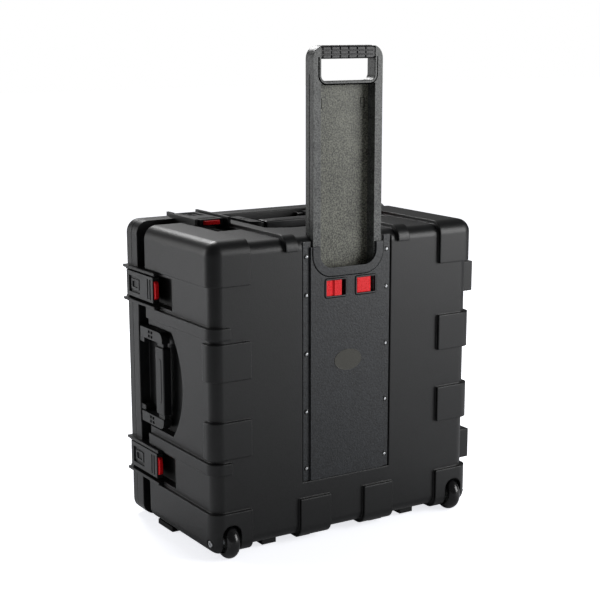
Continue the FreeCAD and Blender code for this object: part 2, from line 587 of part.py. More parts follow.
# ---------------------------------------------------------------- trolley handle
frame_form = fuse("FrameForm",
                  block("FrameLow", ("-trolley_half", "trolley_half"),
                        ("trolley_front", "trolley_back"),
                        ("trolley_low", "trolley_top - trolley_round")),
                  block("FrameTop", ("-trolley_half + trolley_round", "trolley_half - trolley_round"),
                        ("trolley_front", "trolley_back"),
                        ("trolley_top - trolley_round - 1", "trolley_top")),
                  *[rod(f"FrameCorner_{side}", "Y", "trolley_round",
                        ("trolley_front", "trolley_back"),
                        (f"{sign} * (trolley_half - trolley_round)", "trolley_top - trolley_round"))
                    for side, sign in SIDES.items()])
tray = block("Tray", ("-rail_in", "rail_in"), ("trolley_front - 5", "trolley_back + 5"),
             ("trolley_low - 5", "tray_top"))
window = fuse("Window",
              block("WindowWide", ("-rail_in", "rail_in"), ("trolley_front - 5", "trolley_back + 5"),
                    ("window_low + window_round", "window_high")),
              block("WindowLow", ("-rail_in + window_round", "rail_in - window_round"),
                    ("trolley_front - 5", "trolley_back + 5"),
                    ("window_low", "window_low + window_round + 1")),
              *[rod(f"WindowCorner_{side}", "Y", "window_round",
                    ("trolley_front - 5", "trolley_back + 5"),
                    (f"{sign} * (rail_in - window_round)", "window_low + window_round"))
                for side, sign in SIDES.items()])
grip_room = block("GripRoom", ("-rail_in", "rail_in"), ("trolley_front - 5", "trolley_back + 5"),
                  ("window_high - 1", "trolley_top + 5"))
core_bar = block("CoreBar", ("-rail_in - 2", "rail_in + 2"), ("5", "17"), ("1066", "1080"))
rail_grooves = [block(f"RailGroove_{side}",
                      mirrored_span(sign, "trolley_half - 1.2", "trolley_half + 5"),
                      ("8", "12"), ("trolley_low - 5", "trolley_top - 60"))
                for side, sign in SIDES.items()]
# The lowest part of the rails is set back, because it slides down behind the shell's skin.
heel = block("Heel", ("-trolley_half - 5", "trolley_half + 5"), ("trolley_front - 5", "heel_front"),
             ("trolley_low - 5", "trolley_low + heel_tall"))
rails = cut("FrameRails", frame_form, tray, window, grip_room, heel, *rail_grooves)
keep("trolley_frame", fuse("TrolleyFrame", rails, core_bar))
tray_panel = block("TrayPanel", ("-rail_in", "rail_in"), ("tray_floor", "trolley_back"),
                   ("trolley_low", "tray_top"))
clips = [block(f"ClipMark_{side}", mirrored_span(sign, "rail_in - 14", "rail_in + 1"),
               ("tray_floor - 1", "tray_floor + 0.8"), ("951", "985"))
         for side, sign in SIDES.items()]
keep("trolley_panel", cut("TrolleyPanel", tray_panel, *clips))

grip_body = block("GripBody", ("-rail_in", "rail_in"), ("trolley_front + 1", "trolley_back - 1"),
                  ("window_high", "trolley_top - 1"))
grip_ribs = [block(f"GripRib{number}", (f"-66 + {number} * 19", f"-66 + {number} * 19 + 15"),
                   ("trolley_front - 0.5", "trolley_back + 0.5"), ("window_high - 1", "trolley_top"))
             for number in range(7)]
keep("trolley_grip", cut("TrolleyGrip", fuse("GripForm", grip_body, *grip_ribs),
                         block("GripBore", ("-rail_in - 1", "rail_in + 1"), ("5", "17"),
                               ("1066", "1080"))))
for side, sign in SIDES.items():
    keep(f"trolley_stop_{side}",
         block(f"TrolleyStop_{side}", mirrored_span(sign, "rail_in + 2", "trolley_half - 2"),
               ("heel_front + 1", "trolley_back - 4"), ("trolley_low - 8", "trolley_low")))

# ---------------------------------------------------------------- wheels
for side, sign in SIDES.items():
    place = (f"{sign} * wheel_x", "wheel_y", "wheel_z")
    radius = value("wheel_r")
    half = value("wheel_half")
    core = value("core_r")
    hub = value("bearing_r")
    shoulder = radius - half * 0.9
    tyre = turned_profile(f"Tyre_{side}", [
        (-half * 0.8, core), (-half * 0.95, core + 1.5), (-half, shoulder),
        (half, shoulder, 0, radius), (half * 0.95, core + 1.5), (half * 0.8, core)], place)
    keep(f"wheel_{side}_tyre", tyre)
    core_body = turned_profile(f"Core_{side}", [
        (-half * 0.8, core), (half * 0.8, core), (half * 0.62, core - 4),
        (half * 0.5, hub + 3.5), (half * 0.8, hub + 2), (half * 0.8, hub), (-half * 0.8, hub),
        (-half * 0.8, hub + 2), (-half * 0.5, hub + 3.5), (-half * 0.62, core - 4)], place)
    keep(f"wheel_{side}_core", core_body)
    rings = []
    for end in (-1, 1):
        low, high = ("wheel_half * 0.8 - bearing_wide", "wheel_half * 0.8")
        span = mirrored_span(end, low, high)
        span = tuple(f"{place[0]} + ({part})" for part in span)
        rings.append(cut(f"Bearing{end}_{side}",
                         rod(f"BearingOut{end}_{side}", "X", "bearing_r", span, place[1:]),
                         rod(f"BearingIn{end}_{side}", "X", "bearing_bore", span, place[1:])))
    keep(f"wheel_{side}_bearings", fuse(f"Bearings_{side}", *rings))
    span = (f"{place[0]} - (wheel_half * 0.8 - bearing_wide)",
            f"{place[0]} + (wheel_half * 0.8 - bearing_wide)")
    keep(f"wheel_{side}_spacer", cut(f"Spacer_{side}",
                                     rod(f"SpacerOut_{side}", "X", "bearing_bore + 2.5", span,
                                         place[1:]),
                                     rod(f"SpacerIn_{side}", "X", "bearing_bore + 0.1", span,
                                         place[1:])))
    shaft_span = mirrored_span(sign, "wheel_x - well_half - 7", "half_width - 5")
    head_span = mirrored_span(sign, "half_width - 6", "half_width - 1.5")
    head = rod(f"AxleHead_{side}", "X", "axle_head_r", head_span, place[1:])
    shaft = rod(f"AxleShaft_{side}", "X", "axle_r", shaft_span, place[1:])
    keep(f"axle_{side}", fuse(f"Axle_{side}", head, shaft))
    washers = []
    for number, (low, high) in enumerate((("wheel_x - well_half", "wheel_x - wheel_half * 0.8 - 0.3"),
                                          ("wheel_x + wheel_half * 0.8 + 0.3", "wheel_x + well_half"))):
        span = mirrored_span(sign, low, high)
        washers.append(cut(f"Washer{number}_{side}",
                           rod(f"WasherOut{number}_{side}", "X", "bearing_bore + 3", span, place[1:]),
                           rod(f"WasherIn{number}_{side}", "X", "axle_r", span, place[1:])))
    keep(f"axle_{side}_washers", fuse(f"Washers_{side}", *washers))

# ---------------------------------------------------------------- carrying handles
pivot = ("-handle_pivot_x", "handle_pivot_y")
thick = ("-handle_pivot_x - handle_thick / 2", "-handle_pivot_x + handle_thick / 2")
handle_pins = []
for name, place in HANDLES.items():
    limbs, holes = [], []
    for end, sign in (("low", -1), ("high", 1)):
        span = mirrored_span(sign, "handle_half - handle_arm", "handle_half")
        limbs.append(block(f"{name}Arm_{end}", thick, ("grip_low + 4", "handle_pivot_y"), span))
        limbs.append(rod(f"{name}Knuckle_{end}", "Z", "handle_thick / 2", span, pivot))
        for number in range(4):
            across = f"grip_high + 12 + {number // 2} * 13"
            up = f"{sign} * (handle_half - handle_arm / 2) + {number % 2 * 2 - 1} * 5"
            holes.append(block(f"{name}Hole{number}_{end}",
                               ("-handle_pivot_x - 12", "-handle_pivot_x - 2"),
                               (across, f"{across} + 8"), (f"{up} - 3.2", f"{up} + 3.2")))
        pin_span = mirrored_span(sign, "handle_half - handle_arm - 13", "handle_half - 2")
        pin = rod(f"{name}Pin_{end}", "Z", "handle_pin_r", pin_span, pivot)
        handle_pins.append(at_station(pin, *place))
    bar = block(f"{name}Bar", ("-handle_pivot_x - 6", "-handle_pivot_x + 6"),
                ("grip_low + 6", "grip_high - 6"), ("-handle_half + 2", "handle_half - 2"))
    bores = rod(f"{name}Bore", "Z", "handle_pin_r + 0.05", ("-handle_half - 1", "handle_half + 1"),
                pivot)
    handle = cut(f"{name}Frame", fuse(f"{name}Form", *limbs, bar), bores, *holes)
    keep(name + "_frame", at_station(handle, *place))
    sleeve = block(f"{name}Sleeve", thick, ("grip_low", "grip_high"), ("-78", "78"))
    hole = block(f"{name}SleeveHole", ("-handle_pivot_x - 6", "-handle_pivot_x + 6"),
                 ("grip_low + 6", "grip_high - 6"), ("-90", "90"))
    keep(name + "_grip", at_station(cut(f"{name}Grip", sleeve, hole), *place))
keep("handle_pins", compound("HandlePins", *handle_pins))

# ---------------------------------------------------------------- latches
latch_line = ("-latch_axis_x", "latch_axis_y")
latch_pins = []
for name, place in LATCHES.items():
    plate = block(name + "Plate", ("-lever_out", "-lever_in"), ("lever_tail", "latch_axis_y"),
                  ("-lever_half", "lever_half"))
    barrel = rod(name + "Barrel", "Z", "(lever_out - lever_in) / 2", ("-lever_half", "lever_half"),
                 latch_line)
    relief = block(name + "Relief", ("-lever_in - 9", "-lever_in + 1"), ("lever_tail + 26", "345"),
                   ("-lever_half + 4", "lever_half - 4"))
    pocket = block(name + "TriggerPocket", ("-lever_out + 3", "-lever_in - 3"),
                   ("lever_tail - 1", "trigger_front + 5"),
                   ("-trigger_half - 0.4", "trigger_half + 0.4"))
    bore = rod(name + "LeverBore", "Z", "latch_pin_r + 0.05",
               ("-lever_half - 1", "lever_half + 1"), latch_line)
    lever = cut(name + "Lever", fuse(name + "LeverForm", plate, barrel), relief, pocket, bore)
    keep(name + "_lever", at_station(lever, *place))
    trigger = block(name + "Button", ("-lever_out + 3.4", "-lever_in - 3.4"),
                    ("trigger_rear", "trigger_front"), ("-trigger_half", "trigger_half"))
    keep(name + "_trigger", at_station(trigger, *place))
    pin = rod(name + "Pin", "Z", "latch_pin_r", ("-rib_gap - rib_thick", "rib_gap + rib_thick"),
              latch_line)
    latch_pins.append(at_station(pin, *place))
keep("latch_pins", compound("LatchPins", *latch_pins))

# ---------------------------------------------------------------- feet
for side, sign in SIDES.items():
    middle = f"{sign} * foot_x"
    sole = block(f"FootSole_{side}", (f"{middle} - foot_half", f"{middle} + foot_half"),
                 ("foot_rear", "foot_front"), ("-floor_gap", "0"))
    stud = block(f"FootStud_{side}", (f"{middle} - 8", f"{middle} + 8"),
                 ("foot_rear + 20", "foot_front - 20"), ("-1", "4"))
    keep(f"foot_{side}", fuse(f"Foot_{side}", sole, stud))

# ---------------------------------------------------------------- check and write
doc.recompute()
faults = [obj.Label for obj in doc.Objects if {"Invalid", "Error"} & set(obj.State)]
if faults:
    raise SystemExit("failed objects: " + ", ".join(faults))
os.makedirs("parts", exist_ok=True)
for label, obj in parts.items():
    shape = obj.Shape
    if shape.isNull() or not shape.isValid() or not shape.Solids:
        raise SystemExit(label + " has no valid solid")
    shape.exportStep(f"parts/{label}.step")
    print(label, len(shape.Solids), round(shape.Volume / 1000, 1), "cm3")
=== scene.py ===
import math

import bpy
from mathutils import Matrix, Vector


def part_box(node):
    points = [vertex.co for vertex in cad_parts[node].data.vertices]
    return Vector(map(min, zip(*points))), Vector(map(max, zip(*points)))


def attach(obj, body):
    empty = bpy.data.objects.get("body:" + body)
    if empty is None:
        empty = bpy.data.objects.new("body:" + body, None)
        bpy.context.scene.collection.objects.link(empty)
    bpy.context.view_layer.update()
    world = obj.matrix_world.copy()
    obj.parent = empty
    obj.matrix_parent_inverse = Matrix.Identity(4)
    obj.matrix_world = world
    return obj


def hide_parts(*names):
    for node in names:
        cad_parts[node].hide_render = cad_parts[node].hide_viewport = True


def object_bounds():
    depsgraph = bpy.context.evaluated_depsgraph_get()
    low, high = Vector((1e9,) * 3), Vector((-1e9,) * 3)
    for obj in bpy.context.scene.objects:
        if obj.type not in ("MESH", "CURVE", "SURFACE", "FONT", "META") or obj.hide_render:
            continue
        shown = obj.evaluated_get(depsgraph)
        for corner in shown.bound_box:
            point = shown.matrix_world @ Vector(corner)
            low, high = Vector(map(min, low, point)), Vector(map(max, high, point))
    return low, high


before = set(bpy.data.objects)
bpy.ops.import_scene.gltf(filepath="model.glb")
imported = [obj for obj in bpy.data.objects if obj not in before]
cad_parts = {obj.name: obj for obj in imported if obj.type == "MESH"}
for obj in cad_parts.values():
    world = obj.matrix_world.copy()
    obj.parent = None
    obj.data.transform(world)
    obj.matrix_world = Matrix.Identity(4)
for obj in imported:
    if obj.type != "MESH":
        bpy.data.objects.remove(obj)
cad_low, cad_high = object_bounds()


# ---------------------------------------------------------------- case mouldings
# The base and the lid are injection-moulded polypropylene, 5 mm thick, black all through,
# with a fine spark-eroded grain. Every outside edge is broken by the mould's small radius.
MM = 0.001


def linear(hex_colour):
    """An sRGB hex colour as linear light, with full opacity."""
    channels = [int(hex_colour[place:place + 2], 16) / 255 for place in (1, 3, 5)]
    return tuple(c / 12.92 if c <= 0.04045 else ((c + 0.055) / 1.055) ** 2.4
                 for c in channels) + (1.0,)


def add_node(tree, kind, inputs=None, **settings):
    """Adds one shader node; an input that is a socket is linked, any other is a value."""
    new = tree.nodes.new(kind)
    for name, setting in settings.items():
        setattr(new, name, setting)
    for name, given in (inputs or {}).items():
        if isinstance(given, bpy.types.NodeSocket):
            tree.links.new(given, new.inputs[name])
        else:
            new.inputs[name].default_value = given
    return new


def new_material(name):
    """An empty node material: its tree, its Principled shader and its object coordinates."""
    material = bpy.data.materials.new(name)
    material.use_nodes = True
    tree = material.node_tree
    tree.nodes.clear()
    shader = add_node(tree, "ShaderNodeBsdfPrincipled")
    output = add_node(tree, "ShaderNodeOutputMaterial")
    tree.links.new(shader.outputs["BSDF"], output.inputs["Surface"])
    place = add_node(tree, "ShaderNodeTexCoord").outputs["Object"]
    return material, tree, shader, place


def moulded(name, dark, light, roughness, grain_mm, depth_mm, swirl_mm=60.0, gloss=0.5,
            edge_mm=0.8):
    """Moulded plastic: two close shades in slow swirls, and an eroded grain of small pits."""
    material, tree, shader, place = new_material(name)
    swirl = add_node(tree, "ShaderNodeTexNoise", {
        "Vector": place, "Scale": 1000 / swirl_mm, "Detail": 3.0, "Roughness": 0.55})
    grain = add_node(tree, "ShaderNodeTexNoise", {
        "Vector": place, "Scale": 1000 / grain_mm, "Detail": 2.0, "Roughness": 0.6})
    faint = add_node(tree, "ShaderNodeMath", {
        0: swirl.outputs["Fac"], 1: 0.25}, operation="MULTIPLY")
    mixed = add_node(tree, "ShaderNodeMath", {
        0: faint.outputs["Value"], 1: grain.outputs["Fac"]}, operation="ADD")
    spread = add_node(tree, "ShaderNodeMapRange", {
        "Value": mixed.outputs["Value"], "From Min": 0.48, "From Max": 0.78})
    shade = add_node(tree, "ShaderNodeMix", {"Factor": spread.outputs["Result"]},
                     data_type="RGBA")
    for socket, colour in zip([s for s in shade.inputs if s.type == "RGBA"], (dark, light)):
        socket.default_value = linear(colour)
    result = [s for s in shade.outputs if s.type == "RGBA"][0]
    tree.links.new(result, shader.inputs["Base Color"])
    pits = add_node(tree, "ShaderNodeTexVoronoi", {
        "Vector": place, "Scale": 1000 / (grain_mm * 1.7)}, feature="SMOOTH_F1")
    relief = add_node(tree, "ShaderNodeMath", {
        0: grain.outputs["Fac"], 1: pits.outputs["Distance"]}, operation="ADD")
    rough = add_node(tree, "ShaderNodeMapRange", {
        "Value": grain.outputs["Fac"], "From Min": 0.3, "From Max": 0.7,
        "To Min": roughness - 0.07, "To Max": roughness + 0.07})
    worn_edge = add_node(tree, "ShaderNodeBevel", {"Radius": edge_mm / 1000}, samples=6)
    bump = add_node(tree, "ShaderNodeBump", {
        "Strength": 0.6, "Distance": depth_mm / 1000, "Height": relief.outputs["Value"],
        "Normal": worn_edge.outputs["Normal"]})
    tree.links.new(rough.outputs["Result"], shader.inputs["Roughness"])
    tree.links.new(bump.outputs["Normal"], shader.inputs["Normal"])
    shader.inputs["IOR"].default_value = 1.49
    shader.inputs["Specular IOR Level"].default_value = gloss
    return material


def pick_only(piece):
    """Leaves one object selected and active."""
    bpy.ops.object.select_all(action="DESELECT")
    piece.select_set(True)
    bpy.context.view_layer.objects.active = piece


def copy_of(node, name):
    """A merged copy of a CAD node, with its flat faces whole again, to be finished."""
    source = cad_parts[node]
    piece = bpy.data.objects.new(name, source.data.copy())
    bpy.context.collection.objects.link(piece)
    piece.data.materials.clear()
    pick_only(piece)
    bpy.ops.object.mode_set(mode="EDIT")
    bpy.ops.mesh.select_all(action="SELECT")
    bpy.ops.mesh.customdata_custom_splitnormals_clear()
    bpy.ops.mesh.remove_doubles(threshold=1e-5)
    bpy.ops.mesh.dissolve_limited(angle_limit=math.radians(0.5))
    bpy.ops.object.mode_set(mode="OBJECT")
    return piece


def soften(piece, radius_mm, steps=3, sharpest=32):
    """Rounds every edge that turns more than the given angle, and evens the shading."""
    pick_only(piece)
    bevel = piece.modifiers.new("rounds", "BEVEL")
    bevel.width = radius_mm / 1000
    bevel.segments = steps
    bevel.limit_method = "ANGLE"
    bevel.angle_limit = math.radians(sharpest)
    bpy.ops.object.modifier_apply(modifier=bevel.name)
    bpy.ops.object.shade_smooth_by_angle(angle=math.radians(35))
    even = piece.modifiers.new("even_faces", "WEIGHTED_NORMAL")
    even.keep_sharp = True
    even.weight = 90
    bpy.ops.object.modifier_apply(modifier=even.name)


def fit(piece, body, slot, material, *nodes):
    """Gives a piece its material and its body, and hides the CAD nodes it stands for."""
    piece.data.materials.clear()
    piece.data.materials.append(material)
    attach(piece, body)
    if nodes:
        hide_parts(*nodes)


def recoat(material, *nodes):
    """Puts a material on CAD nodes whose own shape is shown."""
    for node in nodes:
        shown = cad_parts[node]
        shown.data.materials.clear()
        shown.data.materials.append(material)


# Black polypropylene, spark-eroded mould: the grain breaks each highlight into a soft satin
# sheen. The real grain is about 0.3 mm; it is drawn at 2.2 mm so that it shows.
case_plastic = moulded("polypropylene_black_eroded_grain", "#0b0c0d", "#151617", 0.40,
                       2.2, 0.14, edge_mm=4.0)
for node, name, body in (("base_shell", "case_base", "base"), ("lid_shell", "case_lid", "lid")):
    moulding = copy_of(node, name)
    soften(moulding, 1.5, steps=2)
    fit(moulding, body, "shell_plastic", case_plastic, node)

# ---------------------------------------------------------------- lid seal
# A loop of black EPDM foam rubber, pushed into the groove of the lid's rim.
seal_rubber = moulded("epdm_rubber_matt_black", "#0b0b0c", "#121213", 0.75, 0.9, 0.05,
                      gloss=0.25)
recoat(seal_rubber, "lid_gasket")


# ---------------------------------------------------------------- trolley cover
# A plate of ABS with a coarse leather-like grain closes the trolley's channel. Its middle stands
# proud, with a raised band round the hand cut-out and a rim round each window; thin painted
# shadow edges both.
def block_piece(name, low, high):
    """A block between two corners, ready to be shaped."""
    bpy.ops.object.select_all(action="DESELECT")
    bpy.ops.mesh.primitive_cube_add(size=1, location=(low + high) / 2)
    piece = bpy.context.object
    piece.name = name
    piece.scale = high - low
    bpy.ops.object.transform_apply(location=True, rotation=True, scale=True)
    return piece


def round_edges(piece, wanted, radius_mm, steps=8):
    """Rounds the edges whose two ends pass a test."""
    pick_only(piece)
    bpy.ops.object.mode_set(mode="EDIT")
    bpy.ops.mesh.select_mode(type="EDGE")
    bpy.ops.mesh.select_all(action="DESELECT")
    bpy.ops.object.mode_set(mode="OBJECT")
    points = [vertex.co for vertex in piece.data.vertices]
    for edge in piece.data.edges:
        first, second = (points[index] for index in edge.vertices)
        edge.select = wanted(first, second)
    bpy.ops.object.mode_set(mode="EDIT")
    bpy.ops.mesh.bevel(offset=radius_mm / 1000, segments=steps, affect="EDGES")
    bpy.ops.object.mode_set(mode="OBJECT")


def runs_along(axis):
    """A test for edges that run along one axis."""
    others = [other for other in range(3) if other != axis]
    return lambda a, b: all(abs(a[other] - b[other]) < 1e-6 for other in others)


def carve(piece, cutter):
    """Cuts one piece's shape out of another and throws the cutter away."""
    pick_only(piece)
    cut = piece.modifiers.new("cut", "BOOLEAN")
    cut.operation = "DIFFERENCE"
    cut.object = cutter
    cut.solver = "EXACT"
    bpy.ops.object.modifier_apply(modifier=cut.name)
    bpy.data.objects.remove(cutter)


def rounded_slab(name, low, high, radius_mm, axis=1, steps=8):
    """A block whose edges along one axis are rounded."""
    slab = block_piece(name, low, high)
    round_edges(slab, runs_along(axis), radius_mm, steps)
    return slab


# Charcoal ABS, etched mould with a coarse grain: the bumps catch the light one by one. The
# real grain is about 1 mm wide, and it is drawn at 3.2 mm.
cover_plastic = moulded("abs_charcoal_coarse_grain", "#0e1012", "#2b2e32", 0.38, 3.2, 0.45,
                        swirl_mm=35.0, gloss=0.55)
cover_low, cover_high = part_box("trolley_cover")
middle_x = (cover_low.x + cover_high.x) / 2
cover = copy_of("trolley_cover", "cover_plate")
soften(cover, 0.7, steps=2)
fit(cover, "base", "cover_plastic", cover_plastic, "trolley_cover")

# Matt near-black for painted shadow: thin bands and rings that stand in for the shade in the
# gaps round the raised band, the window rims, the panel clips and the hand opening.
painted_shadow_black = moulded("unlit_gap_black", "#010101", "#030303", 0.95, 1.2, 0.01, gloss=0.02)
button_low, button_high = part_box("release_button")
cover_back = cover_low.y + 0.4 * MM
cut_half = 74 * MM
cut_floor = cover_low.z + 478 * MM
band_wide = 19 * MM
band_low = Vector((middle_x - cut_half - band_wide, cover_low.y, cut_floor - band_wide))
band_high = Vector((middle_x + cut_half + band_wide, cover_back, cover_high.z - 12.5 * MM))
# The raised band, then a thin band of painted shadow just wider than it, for the shade in the
# gap round it.
for name, wider, proud, edge, finish in (("cover_band", 0.0, 1.5, 0.9, cover_plastic),
                                         ("cover_band_painted_shadow", 1.7, 0.15, 0.05, painted_shadow_black)):
    spread = Vector((wider, 0, wider)) * MM
    lowest = band_low - spread
    lowest.y = cover_low.y - proud * MM
    highest = Vector((band_high.x + wider * MM, band_high.y, band_high.z))
    band = block_piece(name, lowest, highest)
    round_edges(band, lambda a, b: runs_along(1)(a, b) and a.z < lowest.z + MM,
                50 + wider, 14)
    opening = block_piece("opening",
                          Vector((middle_x - cut_half, band_low.y - 2.5 * MM, cut_floor)),
                          Vector((middle_x + cut_half, band_high.y + MM,
                                  band_high.z + 9 * MM)))
    round_edges(opening, lambda a, b: runs_along(1)(a, b) and a.z < cut_floor + MM, 32, 14)
    carve(band, opening)
    soften(band, edge, steps=3)
    fit(band, "base", "cover_plastic", finish)

window_low_z = button_low.z + 3.5 * MM
window_high_z = button_high.z - 3.5 * MM
windows = {"lock": (middle_x - 58 * MM, middle_x - 8 * MM),
           "release": (middle_x + 22 * MM, middle_x + 71 * MM)}


def window_ring(name, low, high, wide, y_span, radius_mm, edge_mm, body, slot, material):
    """A rounded rectangular ring that stands on a face turned to the trolley side."""
    edge = Vector((wide, 0, wide))
    front, back = y_span
    ring = rounded_slab(name, Vector((low.x, front, low.z)) - edge,
                        Vector((high.x, back, high.z)) + edge, radius_mm)
    hole = rounded_slab(name + "_hole", Vector((low.x, front - MM, low.z)),
                        Vector((high.x, back + MM, high.z)), 1.6)
    carve(ring, hole)
    soften(ring, edge_mm, steps=3)
    fit(ring, body, slot, material)


# Each window gets a raised rim, then a thin ring of painted shadow just outside it for the shade
# in the joint.
for name, (left, right) in windows.items():
    corner_low = Vector((left, 0, window_low_z))
    corner_high = Vector((right, 0, window_high_z))
    window_ring(name + "_window_rim", corner_low, corner_high, 3.4 * MM,
                (cover_low.y - 1.9 * MM, cover_back), 5, 0.9, "base", "cover_plastic",
                cover_plastic)
    window_ring(name + "_window_painted_shadow", corner_low, corner_high, 4.9 * MM,
                (cover_low.y - 0.15 * MM, cover_back), 6.5, 0.05, "base", "cover_plastic",
                painted_shadow_black)

# ---------------------------------------------------------------- cover screws
# Ten zinc-plated pan-head screws with a cross recess, each in a dark moulded seat.
zinc, zinc_tree, zinc_shader, zinc_place = new_material("zinc_plated_steel")
zinc_grain = add_node(zinc_tree, "ShaderNodeTexNoise", {
    "Vector": zinc_place, "Scale": 1000 / 1.2, "Detail": 3.0})
zinc_rough = add_node(zinc_tree, "ShaderNodeMapRange", {
    "Value": zinc_grain.outputs["Fac"], "To Min": 0.16, "To Max": 0.38})
zinc_tree.links.new(zinc_rough.outputs["Result"], zinc_shader.inputs["Roughness"])
zinc_shader.inputs["Base Color"].default_value = linear("#d4d6d8")
zinc_shader.inputs["Metallic"].default_value = 1.0
dark_seat = moulded("abs_black_smooth", "#08080a", "#101012", 0.30, 1.2, 0.03, gloss=0.6)


def turned_piece(centre, radius, depth, turn, vertices):
    """A cylinder about its centre, ready to be shaped."""
    bpy.ops.object.select_all(action="DESELECT")
    bpy.ops.mesh.primitive_cylinder_add(vertices=vertices, radius=radius, depth=depth,
                                        location=centre, rotation=turn)
    piece = bpy.context.object
    bpy.ops.object.transform_apply(location=True, rotation=True, scale=True)
    return piece


lying_along_y = (math.radians(90), 0, 0)
screw_low, screw_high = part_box("cover_screws")
head_radius = 3.45 * MM
heights = []
for height in sorted(vertex.co.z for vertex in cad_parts["cover_screws"].data.vertices):
    if not heights or height - heights[-1][0] > 4 * head_radius:
        heights.append([height, height])
    heights[-1][1] = height
screw_places = [(x, (low + high) / 2) for x in (screw_low.x + head_radius,
                                                screw_high.x - head_radius)
                for low, high in heights]
heads, seats = [], []
for x, z in screw_places:
    head = turned_piece((x, screw_low.y + 1.1 * MM, z), head_radius, 2.2 * MM,
                        lying_along_y, 28)
    round_edges(head, lambda a, b: max(a.y, b.y) < screw_low.y + 0.1 * MM, 1.4, 5)
    for long_x, long_z in ((2.1, 0.55), (0.55, 2.1)):
        reach = Vector((long_x * MM, 1.0 * MM, long_z * MM))
        at = Vector((x, screw_low.y, z))
        carve(head, block_piece("cross", at - reach, at + reach))
    heads.append(head)
    bpy.ops.mesh.primitive_torus_add(major_radius=5.0 * MM, minor_radius=1.1 * MM,
                                     major_segments=32, minor_segments=8,
                                     location=(x, screw_low.y + 1.4 * MM, z),
                                     rotation=lying_along_y)
    seats.append(bpy.context.object)
    bpy.ops.object.transform_apply(location=True, rotation=True, scale=True)


def join(pieces, name):
    """Joins pieces into one and names it."""
    bpy.ops.object.select_all(action="DESELECT")
    for piece in pieces:
        piece.select_set(True)
    bpy.context.view_layer.objects.active = pieces[0]
    bpy.ops.object.join()
    joined = bpy.context.object
    joined.name = name
    return joined


screw_heads = join(heads, "screw_heads")
soften(screw_heads, 0.1, steps=1, sharpest=60)
fit(screw_heads, "base", "steel", zinc, "cover_screws")
screw_seats = join(seats, "screw_seats")
bpy.ops.object.shade_smooth()
fit(screw_seats, "base", "cover_plastic", dark_seat)

# ---------------------------------------------------------------- blank badge
# An oval nameplate, left blank: a thin satin plate with a raised rolled rim.
badge_low, badge_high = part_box("blank_badge")
badge_size = badge_high - badge_low
bpy.ops.object.select_all(action="DESELECT")
bpy.ops.mesh.primitive_cylinder_add(vertices=72, radius=0.5, depth=1.0,
                                    location=(badge_low + badge_high) / 2,
                                    rotation=lying_along_y)
badge = bpy.context.object
badge.name = "oval_badge"
badge.scale = (badge_size.x, badge_size.z, badge_size.y)
bpy.ops.object.transform_apply(location=True, rotation=True, scale=True)
bpy.ops.object.mode_set(mode="EDIT")
bpy.ops.mesh.select_mode(type="FACE")
bpy.ops.mesh.select_all(action="DESELECT")
bpy.ops.object.mode_set(mode="OBJECT")
for polygon in badge.data.polygons:
    polygon.select = polygon.normal.y < -0.9
bpy.ops.object.mode_set(mode="EDIT")
bpy.ops.mesh.inset(thickness=2.0 * MM)
bpy.ops.transform.translate(value=(0, 0.45 * MM, 0))
bpy.ops.object.mode_set(mode="OBJECT")
soften(badge, 0.25, steps=2)
badge_finish = moulded("satin_lacquered_nameplate", "#35342e", "#45443c", 0.36, 1.0, 0.05,
                       gloss=0.5)
fit(badge, "base", "badge_plastic", badge_finish, "blank_badge")

# ---------------------------------------------------------------- red controls
# The lock slider and the release button are moulded in bright red ABS, polished tools.
red_plastic = moulded("abs_red_polished", "#f00a14", "#ff1a26", 0.30, 3.0, 0.02, gloss=0.35)
for node, name, body, radius in (("lock_slider", "lock_slide_knob", "lock", 1.3),
                                 ("release_button", "release_push", "release", 1.6)):
    knob = copy_of(node, name)
    if body == "lock":
        knob_low, knob_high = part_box(node)
        groove_centre = (knob_low.x + 19 * MM, knob_low.y - 2.2 * MM,
                         (knob_low.z + knob_high.z) / 2)
        thumb_groove = turned_piece(groove_centre, 5.5 * MM, 60 * MM, (0, 0, 0), 40)
        carve(knob, thumb_groove)
    soften(knob, radius, steps=4)
    fit(knob, body, "red_plastic", red_plastic, node)
recoat(zinc, "lock_pin", "release_plunger")

# ---------------------------------------------------------------- trolley handle
# The pull-up handle is one glass-filled nylon frame of two deep rails joined at the top,
# with a thinner panel between them and a ribbed soft grip over the crossbar.
rail_plastic = moulded("nylon_grey_glass_filled", "#262828", "#6a6c6a", 0.40, 3.4, 0.50,
                       swirl_mm=30.0, gloss=0.5)
panel_plastic = moulded("nylon_olive_grey_textured", "#33342e", "#85867a", 0.44, 3.6, 0.55,
                        swirl_mm=40.0, gloss=0.45)
rails = copy_of("trolley_frame", "trolley_rails")
soften(rails, 1.8, steps=3)
fit(rails, "trolley", "rail_plastic", rail_plastic, "trolley_frame")
panel = copy_of("trolley_panel", "trolley_web")
soften(panel, 0.5, steps=2)
fit(panel, "trolley", "panel_plastic", panel_plastic, "trolley_panel")
recoat(rail_plastic, "trolley_stop_left", "trolley_stop_right", "channel_guides")

frame_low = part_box("trolley_frame")[0]
grip_low, grip_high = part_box("trolley_grip")
window_half = (grip_high.x - grip_low.x) / 2
window_floor = grip_low.z - 46 * MM


